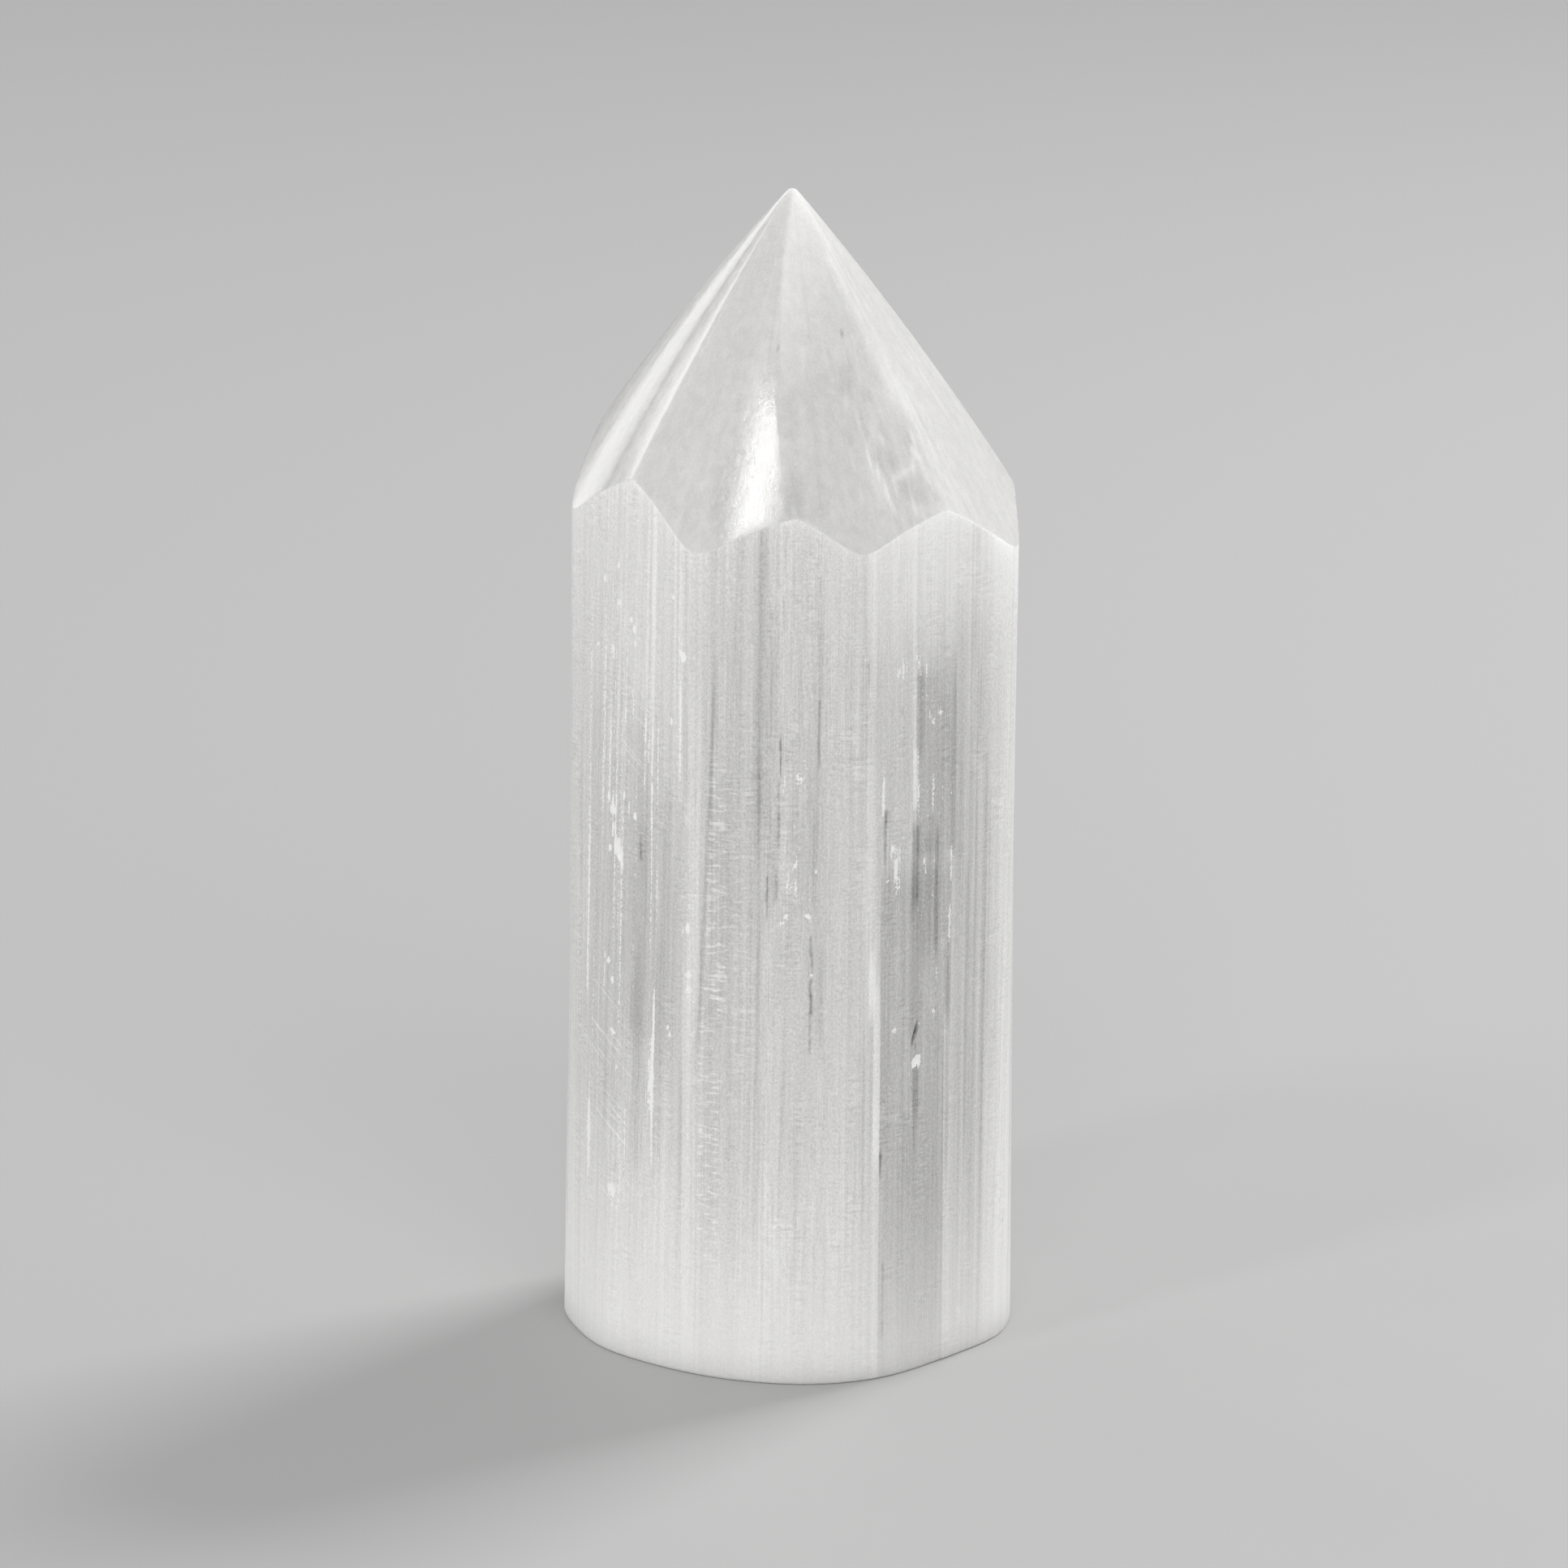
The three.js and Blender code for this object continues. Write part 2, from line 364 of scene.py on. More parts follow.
def draw_left(marks):
    """The lines, nicks and scratches at the left of the front."""
    tone, white = marks.tone, marks.white
    for azimuth, width, low, high, amount in (
        (-67.7, 0.25, 31, 66, 0.55), (-61.6, 0.20, 48, 67, 0.50), (-58.0, 0.18, 50, 56, 0.50),
        (-55.0, 0.22, 36, 60, 0.60), (-51.8, 0.20, 30, 49, 0.65), (-43.0, 0.17, 51, 58, 0.60),
        (-41.6, 0.17, 53, 61, 0.50), (-40.1, 0.20, 48, 60, 0.55), (-37.9, 0.20, 49, 56, 0.60),
        (-39.9, 0.17, 38, 48, 0.65), (-37.8, 0.17, 39, 45, 0.60), (-29.7, 0.16, 53, 60, 0.55),
        (-58.7, 0.20, 31, 35, 0.60), (-38.3, 0.20, 28.7, 33, 1.10), (-39.1, 0.45, 23, 28.6, 0.55),
        (-38.5, 0.18, 19, 28.6, 0.90), (-65.3, 0.85, 16.8, 20.4, 0.75), (-65.6, 0.25, 14.5, 23, 0.60),
        (-50.2, 0.20, 14, 23, 0.55), (-48.4, 0.20, 14, 23, 0.60), (-35.9, 0.18, 14, 22, 0.50),
        (-46.3, 0.20, 34, 52, 0.35), (-64.0, 0.20, 24, 44, 0.45), (-71.5, 0.30, 22, 40, 0.45),
        (-60.9, 0.20, 46, 62, 0.45), (-58.3, 0.18, 49, 68, 0.40), (-56.4, 0.18, 46, 66, 0.45),
        (-53.2, 0.18, 38, 64, 0.50), (-51.4, 0.16, 52, 64, 0.40), (-67.2, 0.22, 30, 46, 0.50),
        (-29.8, 0.22, 52, 60, 0.35),
    ):
        white.streak(azimuth, width, low, high, amount, fade=1.5)
        marks.relief.streak(azimuth, width, low, high, -0.006)
    tone.streaks((
        (-44.6, 2.6, 30, 56, -0.75), (-34.0, 1.6, 28, 50, -0.60), (-28.7, 0.3, 17, 25, -0.60),
        (-63.8, 0.9, 30, 58, -0.35), (-57.0, 0.3, 22, 60, -0.45), (-53.4, 0.3, 22, 60, -0.45),
        (-44.2, 1.0, 20, 34, -0.55), (-36.3, 0.8, 20, 36, -0.55), (-50.6, 0.25, 36, 60, -0.40),
        (-60.2, 0.25, 26, 58, -0.35), (-42.2, 0.25, 34, 50, -0.40), (-31.4, 0.6, 20, 44, -0.35),
    ))
    tone.band(-40.3, 0.55, 55, 72, 0.75, fade=6, edge=0.15)
    tone.band(-42.7, 0.35, 52, 70, 0.55, fade=6, edge=0.15)
    tone.band(-29.6, 0.60, 53, 70, 0.50, fade=5, edge=0.2)
    marks.crack(-44.3, 44.6, 46.4, amount=-1.5, width=0.3)
    marks.ragged_nick(-53.6, 44.9, 1.0, 1.4, 0.05, 20)
    marks.nick(-53.8, 45.0, 0.75, 1.1, 0.05)
    marks.nick(-57.3, 44.6, 0.45, 0.6, 0.04)
    marks.nick(-52.0, 43.7, 0.35, 0.7, 0.04, -20)
    marks.ragged_nick(-53.2, 14.4, 1.0, 0.9, 0.05, 10)
    for azimuth, z, width, height, lean in (
        (-58.5, 49.0, 0.50, 0.45, 0), (-57.3, 48.0, 0.30, 0.40, 0), (-55.6, 47.9, 0.45, 0.25, 0),
        (-51.4, 49.7, 0.25, 0.40, 0), (-46.8, 48.1, 0.35, 0.60, -30), (-56.8, 34.7, 0.50, 0.50, -30),
        (-55.0, 33.1, 0.45, 0.40, 0), (-54.2, 28.6, 1.05, 0.35, 15), (-52.4, 25.6, 0.30, 0.35, 0),
        (-33.0, 57.3, 0.35, 0.55, 0), (-49.3, 48.7, 0.15, 1.10, 0), (-33.2, 30.5, 0.25, 0.35, 0),
        (-32.5, 29.9, 0.25, 0.30, 0), (-52.8, 13.4, 0.35, 0.30, 0), (-28.9, 63.2, 0.55, 0.75, 0),
        (-29.4, 63.4, 0.90, 0.30, 20), (-56.2, 69.4, 0.35, 0.40, 0), (-62.3, 67.9, 0.45, 0.40, 0),
        (-55.5, 66.2, 0.65, 0.30, 20), (-50.1, 65.1, 0.45, 0.35, 0), (-48.5, 64.3, 0.55, 0.60, -30),
        (-64.8, 62.0, 0.55, 0.25, 30), (-48.2, 63.1, 0.30, 0.30, 0), (-57.8, 62.1, 0.35, 0.45, 0),
        (-57.6, 61.5, 0.25, 0.25, 0), (-32.6, 68.1, 0.30, 0.50, 30),
    ):
        marks.nick(azimuth, z, width, height, 0.04, lean)
    for azimuth, low, high in (
        (-56, 46, 50), (-50, 55, 62), (-42, 50, 57), (-39.5, 22, 27), (-26.5, 30, 46),
    ):
        marks.feather(azimuth, 1.6, low, high, 24, 0.5)
    marks.scratch.band(-58, 8.0, 16, 29, 1.0, fade=6, edge=3.0)
    marks.scratch.band(-46, 4.0, 52, 58, 0.8, fade=4, edge=2.0)


def draw_middle(marks):
    """The bright and dark bands, the hatching and the cracks across the middle of the front."""
    tone = marks.tone
    tone.band(-25.2, 1.15, 36, 58, 0.50, fade=5, edge=0.3)
    tone.band(-26.9, 0.90, -5, 34, 0.45, fade=5, edge=0.3)
    for azimuth, z, width, height in (
        (-26.9, 39.6, 0.60, 0.80), (-26.7, 35.6, 0.75, 0.65), (-26.6, 34.2, 0.65, 0.70),
    ):
        marks.nick(azimuth, z, width, height, 0.03, whiteness=0.85)
    tone.spot(-27.2, 49.4, 0.5, 1.4, 0.7)
    tone.streak(-21.8, 0.28, 31, 61, -1.0, lean=0.038)
    marks.hatch.band(-19.2, 1.9, 34, 53, 1.0, fade=4, edge=0.5)
    marks.hatch.band(-20.8, 1.9, 12, 33, 0.9, fade=4, edge=0.5)
    marks.hatch.band(-12.5, 2.2, 28, 52, 0.5, fade=6, edge=0.8)
    tone.streak(-8.5, 0.75, 51, 74, -1.15, fade=5)
    tone.streak(-8.6, 0.45, 14, 51, -0.55, fade=5)
    tone.streak(-5.3, 0.8, 44, 66, -0.35)
    tone.streak(-3.9, 0.25, 44, 62, -0.45)
    tone.streak(6.0, 0.30, 43, 66, -0.65, lean=0.022)
    tone.streak(1.8, 0.25, 11, 22, -0.45)
    tone.streak(7.3, 0.25, 31, 38, -0.60)
    tone.streak(18.3, 0.25, 15, 27, -0.45)
    tone.streak(9.5, 1.2, 40, 72, 0.15)
    for azimuth, low, high, amount in (
        (-3.2, 53.7, 56.6, -2.2), (-3.5, 47.4, 53.0, -1.2), (-3.9, 43.0, 45.3, -1.2),
        (-6.2, 41.2, 44.6, -1.5), (6.4, 54.5, 60.0, -1.1), (4.9, 35.6, 39.6, -1.6),
        (4.8, 33.0, 35.6, -3.0), (4.7, 29.5, 33.0, -1.4), (-2.2, 71.5, 74.5, -0.7),
        (-2.7, 66.4, 68.6, -0.7), (6.4, 69.3, 70.4, -0.8), (18.4, 61.5, 63.2, -0.7),
    ):
        marks.crack(azimuth, low, high, amount)
    for azimuth, z, width, height in (
        (-2.6, 40.8, 0.45, 0.25), (-1.5, 41.3, 0.35, 0.30), (4.0, 41.4, 0.45, 0.35),
        (4.9, 36.2, 0.30, 0.20), (2.0, 53.3, 0.70, 0.18), (5.9, 45.3, 0.20, 0.30),
    ):
        marks.nick(azimuth, z, width, height, 0.03)
    for azimuth, low, high, amount in (
        (1.5, 44, 50, 0.35), (-1.0, 43, 46, 0.40), (0.5, 52, 55, 0.35), (1.0, 30, 36, 0.30),
    ):
        marks.feather(azimuth, 2.0, low, high, 22, amount)
    tone.band(-4.5, 4.0, -5, 15, 0.18, fade=8, edge=0.06)


def draw_right(marks):
    """The step, the dark stripes and the feathers at the right of the front, and a painted glow along
    the right edge and at the right of the shoulder.
    """
    tone, white = marks.tone, marks.white
    tone.band(19.6, 1.2, 37, 52, 0.50, fade=5, edge=0.3)
    tone.band(20.2, 0.65, 32.5, 36.5, 1.20, fade=1.0, edge=0.15)
    tone.band(21.6, 0.70, 20, 33.5, 0.90, fade=2, edge=0.12)
    tone.band(21.4, 0.60, 2, 22, 0.35, fade=5, edge=0.12)
    tone.band(35.0, 8.3, 31.5, 43.9, -0.95, fade=1.5, edge=0.10)
    tone.band(33.8, 7.5, -5, 30, -1.05, fade=1.5, edge=0.10)
    tone.streak(35.0, 4.0, 2, 20, -0.45, fade=6)
    marks.relief.band(34.5, 7.9, -5, 43, -0.05, fade=2, edge=0.12)
    tone.band(41.2, 4.8, 46, 61.0, -0.90, fade=1.2, edge=0.12)
    tone.band(37.8, 1.8, 38, 46, -0.55, fade=3, edge=0.3)
    tone.band(33.9, 0.80, 42.2, 47.8, -1.7, fade=1.2, edge=0.2)
    tone.streak(34.0, 0.9, 31, 41, -0.70, fade=2)
    tone.band(41.7, 0.55, 37.8, 46.5, -1.2, fade=2.0, edge=0.2)
    tone.band(34.4, 0.80, 23, 26.8, -1.2, fade=2.5, edge=0.3)
    tone.streaks((
        (48.2, 0.25, 46, 60, -0.90), (46.2, 0.25, 19, 35, -0.80), (53.4, 0.30, 20, 42, -0.60),
        (60.3, 0.35, 2, 50, -0.80), (62.0, 0.25, 30, 48, -0.45), (51.0, 0.25, 4, 30, -0.35),
        (56.5, 0.40, 10, 50, -0.30), (58.4, 0.40, 4, 64, 0.30), (31.0, 0.14, 3, 40, 0.25),
        (26.0, 0.25, 0, 40, 0.25), (50.5, 0.25, 44, 66, -0.40), (55.0, 0.25, 44, 66, -0.35),
        (33.2, 0.30, 56, 73, 0.60), (34.6, 0.25, 62, 73, -0.40), (55.0, 0.35, 57, 61, 0.50),
        (58.0, 0.60, 55.5, 59.5, -0.60), (28.5, 0.30, 44, 60, -0.30),
    ))
    # Painted glow: a pale stripe along the right edge, and a pale band at the right of the shoulder
    tone.band(69.0, 5.6, -5, 80, 0.42, fade=3, edge=1.2)
    tone.band(46, 18.8, 68, 80, 0.50, fade=5, edge=0.15)
    marks.crack(23.8, 45.6, 50.0, amount=-2.6, width=0.22)
    marks.crack(24.0, 3.7, 10.2, amount=-1.3, width=0.18)
    marks.crack(23.0, 18.3, 20.1, amount=-2.2, width=0.20)
    tone.band(33.7, 0.60, 50.0, 54.8, 1.25, fade=0.4, edge=0.12)
    tone.streak(35.7, 0.45, 55.0, 61.5, -0.9, fade=1.5)
    white.streaks(((34.6, 0.20, 48.3, 54.6, 0.45), (33.2, 0.30, 53.1, 54.4, 0.45)), fade=0.5)
    marks.finer(33.9, 1.2, 47.5, 56)
    white.streaks((
        (23.1, 0.25, 50.6, 52.6, 0.9), (23.0, 0.20, 49.8, 50.4, 0.9), (47.2, 0.22, 42.9, 45.6, 0.7),
        (46.7, 0.25, 37.6, 40.5, 0.75), (40.0, 0.15, 49.3, 52.4, 0.7), (43.8, 0.15, 50.6, 53, 0.6),
        (41.8, 0.15, 34, 35.2, 0.8), (26.9, 0.30, 44, 46.6, 0.5), (27.4, 0.22, 42.6, 45.5, 0.6),
    ), fade=0.4)
    marks.finer(47.0, 1.0, 37, 46)
    for azimuth, z, width, height, lean in (
        (24.0, 43.9, 0.50, 0.22, -20), (25.5, 44.1, 0.55, 0.20, -15), (26.2, 46.8, 0.35, 0.50, 0),
        (43.0, 57.7, 0.60, 0.60, 0), (40.0, 57.0, 0.40, 0.60, 0), (36.9, 45.0, 0.25, 0.35, 0),
        (46.8, 50.4, 0.30, 0.25, 0), (41.0, 31.5, 0.45, 0.40, 0), (35.6, 30.9, 0.25, 0.30, 0),
        (27.0, 30.7, 0.65, 0.55, 0), (23.2, 18.0, 0.40, 0.30, 0), (11.1, 65.4, 0.40, 0.22, 0),
        (17.5, 63.6, 0.20, 0.22, 0), (37.5, 59.6, 0.25, 0.50, 0),
    ):
        marks.nick(azimuth, z, width, height, 0.03, lean, whiteness=0.8)
    marks.ragged_nick(34.5, 27.5, 0.95, 0.85, 0.05, 14)
    marks.feather(26.8, 1.3, 42.6, 47.6, 22, 0.48)
    marks.feather(38.5, 2.6, 36, 60, 70, 0.50)
    marks.feather(28.8, 1.3, 61.2, 63.2, 14, 0.6)
    marks.feather(35.8, 1.3, 61.2, 63.4, 16, 0.6)
    tone.spot(29.0, 58.5, 0.30, 0.25, -2.0)
    marks.relief.spot(34.1, 30.0, 0.32, 1.7, -0.28, 20)
    for azimuth, z, width, height in ((34.1, 30.0, 0.42, 1.9), (34.2, 28.9, 0.18, 0.4)):
        tone.spot(azimuth, z, width, height, -2.6, 20)
    marks.finer(34.1, 1.6, 27.9, 32.0)


def draw_glow_and_clouds(marks):
    """The broad differences in tone, partly painted light. A painted glow makes the rod paler at its
    foot and at the right of its shoulder, and its details are weaker there, washed out by that glow.
    Painted side light makes the top and the foot at the left paler, and darker clouds lie between."""
    tone, calm = marks.tone, marks.calm
    # Details are weaker at the foot and at the right of the shoulder, where the painted glow lies
    calm.values += calm.near_foot(16)
    calm.cloud(46, 77, 46, 14, 0.7)
    # Near the foot the tones are weakened and a painted glow is added, paler towards the floor
    tone.values *= 1 - 0.5 * tone.near_foot(14)
    tone.values += 0.75 * tone.near_foot(22) ** 1.2
    # Painted light: the pale clouds at the left top and foot are painted side light and glow, and the
    # one at the right of the shoulder is a painted glow; the others are broad tone
    for azimuth, z, width, height, amount in (
        (-62, 76, 56, 26, 0.55), (-60, 0, 70, 34, 0.55), (46, 77, 46, 17, 0.95),
        (-58, 24, 30, 14, -0.35), (20, 52, 70, 40, -0.45), (-20, 44, 44, 40, -0.35),
        (-64, 40, 40, 42, -0.45), (54, 28, 18, 50, -0.55), (150, 70, 60, 30, 0.50),
        (220, 20, 70, 40, 0.40),
    ):
        tone.cloud(azimuth, z, width, height, amount)


def draw_tip(marks):
    """The streaks, flecks and pits of the polished faces, and their painted light: painted highlights
    along the ridges, a painted glow by the bright reflection at the front, and painted shade beside
    it.
    """
    tip, rng = marks.tip, marks.rng
    for _ in range(900):
        azimuth, z = rng.uniform(0, 360), rng.uniform(70, 100)
        length = rng.uniform(1, 9)
        amount = rng.normal(0, 0.20)
        tip.dash(azimuth, rng.uniform(0.12, 0.6), z, length, amount, fade=1.0)
    # Painted highlights: a bright line along the ridge at the right of the tip, and below it a
    # painted light on both sides of that ridge
    tip.streak(47.5, 0.7, 85, 95, 0.25, fade=2, lean=-0.03)
    tip.streak(45.5, 2.2, 84, 94, 1.0, fade=2, lean=-0.03)
    tip.streaks(((52, 3.5, 74, 84, 0.45), (43, 2.5, 74, 84, 0.35)), fade=2)
    # The first three are painted light: a painted glow above the bright reflection left of the ridge
    # at the front, and painted shade at its right and its lower left; the others are pale and dark
    # patches
    for azimuth, z, width, height, amount in (
        (-14, 84.5, 2.6, 7.0, 1.0), (1.0, 76.5, 1.6, 5.0, -1.4), (-19.5, 76.5, 2.2, 6.5, -1.1),
        (27.0, 77.8, 1.3, 3.6, 0.9), (26.5, 85.8, 2.4, 2.5, -0.8), (32.0, 79.4, 2.2, 2.0, -0.7),
        (37.0, 76.8, 2.2, 1.8, -0.8), (42.0, 76.2, 2.0, 1.6, -0.7), (32.5, 84.4, 1.8, 1.4, -0.6),
    ):
        tip.spot(azimuth, z, width, height, amount)
    for count, azimuths, heights, widths, longest, amounts in (
        (70, (18, 52), (80, 88), (0.15, 0.4), 1.0, (-0.9, 0.9)),
        (90, (20, 62), (74, 81), (0.10, 0.5), 1.2, (-0.7, 1.0)),
    ):
        for _ in range(count):
            azimuth, z = rng.uniform(*azimuths), rng.uniform(*heights)
            width, length = rng.uniform(*widths), rng.uniform(0.2, longest)
            tip.streak(azimuth, width, z, z + length, rng.uniform(*amounts), fade=0.4)
    for azimuth, z, lean in (
        (26, 79.5, 0), (28, 78.6, 15), (29, 77.4, 0), (29.4, 76.2, -10), (44.8, 80.6, 15),
        (43.4, 79.7, -30), (41.2, 79.0, 30), (38.6, 78.3, 80), (34.8, 78.2, 70), (36, 75.9, 10),
    ):
        tip.spot(azimuth, z, 0.40, 1.7, 1.5, lean)
    tip.spot(-6.3, 88.2, 0.4, 0.35, -3.0)
    tip.spot(30.4, 89.0, 0.9, 0.35, -3.0)
    # Painted reflections on the left face: a dark strip, and a bright line along the ridge at its
    # right
    tip.streaks(((-62, 1.0, 74, 95, -1.2), (-50, 1.0, 76, 91, 0.6)), fade=2)


def draw_back(marks):
    """The sides and the back, which the photograph doesn't show, marked like the front."""
    rng = marks.rng
    for _ in range(46):
        middle, length = rng.uniform(5, 75), rng.uniform(8, 40)
        azimuth, width = rng.uniform(76, 285), rng.uniform(0.25, 0.9)
        marks.tone.dash(azimuth, width, middle, length, rng.uniform(-0.9, -0.3))
    for _ in range(18):
        middle, length = rng.uniform(10, 65), rng.uniform(5, 14)
        azimuth = rng.uniform(80, 280)
        marks.white.dash(azimuth, 0.2, middle, length, rng.uniform(0.4, 0.7), fade=1.5)
    for _ in range(12):
        azimuth, z = rng.uniform(80, 280), rng.uniform(8, 68)
        marks.nick(azimuth, z, rng.uniform(0.3, 0.6), rng.uniform(0.3, 0.7), 0.04)
    for azimuth, z, width, height, amount in (
        (100, 40, 30, 50, -0.5), (190, 45, 40, 40, -0.6), (262, 55, 30, 30, -0.4),
    ):
        marks.tone.cloud(azimuth, z, width, height, amount)


def draw_marks():
    marks = Marks()
    draw_fibres(marks)
    draw_left(marks)
    draw_middle(marks)
    draw_right(marks)
    draw_glow_and_clouds(marks)
    draw_tip(marks)
    draw_back(marks)
    return marks


def side_faces(lower, upper, inner):
    """The faces between two rings of vertex numbers, facing out. Inner lists the vertices on the
    upright edge at a column, where it is cut into finer steps."""
    faces = []
    count = len(lower)
    for k in range(count):
        after = (k + 1) % count
        left, right = inner.get(k, []), inner.get(after, [])
        if left and right:
            left = [lower[k], *left, upper[k]]
            right = [lower[after], *right, upper[after]]
            faces += zip(left[:-1], right[:-1], right[1:], left[1:])
        else:
            faces.append((lower[k], lower[after], *right, upper[after], upper[k], *reversed(left)))
    return faces


class StoneBuilder:
    """Collects the rings of points, their marks and the faces between them."""

    ROD_LAYERS = ("tone", "white", "hatch", "scratch", "calm")
    LAYERS = (*ROD_LAYERS, "polish")

    def __init__(self):
        self.marks = draw_marks()
        self.azimuth = np.arange(ROD_COLUMNS) * 360 / ROD_COLUMNS
        self.outward = directions(self.azimuth)
        self.positions = []
        self.values = {name: [] for name in self.LAYERS}
        self.faces = []
        self.count = 0

    def add(self, xy, z, **values):
        """Adds points with their layers' values, and gives back their numbers."""
        size = len(xy)
        self.positions.append(np.column_stack([xy, np.broadcast_to(z, size)]))
        for name in self.LAYERS:
            self.values[name].append(np.broadcast_to(values.get(name, 0.0), size))
        self.count += size
        return list(range(self.count - size, self.count))

    def rod_points(self, columns, z, inset=0.0):
        """Points on the side of the rod, one in each of some columns."""
        azimuth = self.azimuth[columns]
        reach = rod_radius(azimuth, z) - inset + self.marks.relief.sample(azimuth, z)
        drawn = {name: getattr(self.marks, name).sample(azimuth, z) for name in self.ROD_LAYERS}
        return self.add(self.outward[columns] * reach[:, None], z, **drawn)

    def rod_ring(self, z, inset=0.0):
        return self.rod_points(np.arange(ROD_COLUMNS), np.broadcast_to(z, ROD_COLUMNS), inset)

    def tip_ring(self, xy):
        """Points on the ground tip, given as seen from above."""
        place = xy - np.array(TIP_OFFSET)
        azimuth = np.degrees(np.arctan2(place[:, 0], -place[:, 1]))
        z = tip_height(xy)
        # The tip's drawn marks, with its painted light added
        tone = self.marks.tip.sample(azimuth, z) + tip_painted_light(xy, z)
        return self.add(xy, z, tone=tone, polish=1.0)

    def foot(self):
        """The flat foot and its eased edge, whose lower rings have a painted glow."""
        centre = self.add(np.zeros((1, 2)), 0.0)[0]
        cap = self.add(self.outward * (rod_radius(self.azimuth, 0) - CAP_INSET)[:, None], 0.0)
        self.faces += [(centre, b, a) for a, b in zip(cap, np.roll(cap, -1))]
        ring = cap
        bend = EASED_EDGE * EDGE_BEND
        for z, inset in ((0.0, EASED_EDGE), (bend, bend), (EASED_EDGE, 0.0)):
            above = self.rod_ring(z, inset)
            # A painted glow on the eased edge
            if z < EASED_EDGE:
                self.values["tone"][-1] = self.values["tone"][-1] + RIM_GLOW_TONE
            self.faces += side_faces(ring, above, {})
            ring = above
        return ring

    def side(self, ring, top):
        """The rod, from its eased edge to just below the tip, with finer rows at small marks."""
        shares = np.linspace(0, 1, ROD_ROWS + 1)
        for start, end in zip(shares[:-1], shares[1:]):
            low = EASED_EDGE + (top - EASED_EDGE) * start
            high = EASED_EDGE + (top - EASED_EDGE) * end
            above = self.rod_ring(high)
            columns = np.nonzero(self.marks.fine_columns(self.azimuth, low, high))[0]
            inner = {int(k): [] for k in columns}
            for step in range(1, FINE_STEPS):
                z = low[columns] + (high - low)[columns] * step / FINE_STEPS
                for k, vertex in zip(columns, self.rod_points(columns, z)):
                    inner[int(k)].append(vertex)
            self.faces += side_faces(ring, above, inner)
            ring = above
        return ring

    def crease(self, ring, shoulder, top):
        """The soft corner between the rod and the tip. It lies a little in from where they meet,
        and the tip has one column for every three of the rod."""
        reach = rod_radius(self.azimuth, shoulder)
        inner = self.outward * (reach - EDGE_WIDTH * CREASE_INNER)[:, None]
        edge_xy = self.outward * (reach - EDGE_WIDTH * CREASE_OUTER)[:, None]
        edge_z = (top + tip_height(inner)) / 2 + EDGE_WIDTH * CREASE_OUTER
        edge_tone = self.marks.tone.sample(self.azimuth, shoulder)
        edge = self.add(edge_xy, edge_z, tone=edge_tone, polish=0.5)
        self.faces += side_faces(ring, edge, {})
        start = inner[::COLUMN_RATIO]
        ring = self.tip_ring(start)
        for k, near in enumerate(ring):
            first = COLUMN_RATIO * k
            a, b, c, d = (edge[(first + i) % ROD_COLUMNS] for i in range(COLUMN_RATIO + 1))
            far = ring[(k + 1) % TIP_COLUMNS]
            self.faces += [(a, b, near), (b, c, far, near), (c, d, far)]
        return ring, start

    def tip(self, ring, start):
        """The ground faces, as rings that close in on the point from the one at its start."""
        point = np.array(TIP_OFFSET)
        for share in np.linspace(0, 1, TIP_ROWS + 1)[1:-1]:
            above = self.tip_ring(start * (1 - share) + point * share)
            self.faces += side_faces(ring, above, {})
            ring = above
        top = self.tip_ring(point[None, :])[0]
        self.faces += [(a, b, top) for a, b in zip(ring, np.roll(ring, -1))]

    def mesh(self):
        """The whole stone as one closed mesh in metres, and the middle of its box before it was
        centred."""
        shoulder = shoulder_height(self.azimuth)
        top = shoulder - EDGE_WIDTH
        ring = self.side(self.foot(), top)
        self.tip(*self.crease(ring, shoulder, top))
        points = np.concatenate(self.positions)
        middle = (points.min(0) + points.max(0)) / 2
        points[:, :2] -= middle[:2]
        made = bpy.data.meshes.new(NODE + "_surface")
        made.from_pydata((points * MM).tolist(), [], [tuple(int(i) for i in f) for f in self.faces])
        made.update()
        for name in self.LAYERS:
            layer = made.attributes.new(name, "FLOAT", "POINT")
            layer.data.foreach_set("value", np.concatenate(self.values[name]).astype(np.float32))
        made.polygons.foreach_set("use_smooth", [True] * len(made.polygons))
        return made, middle


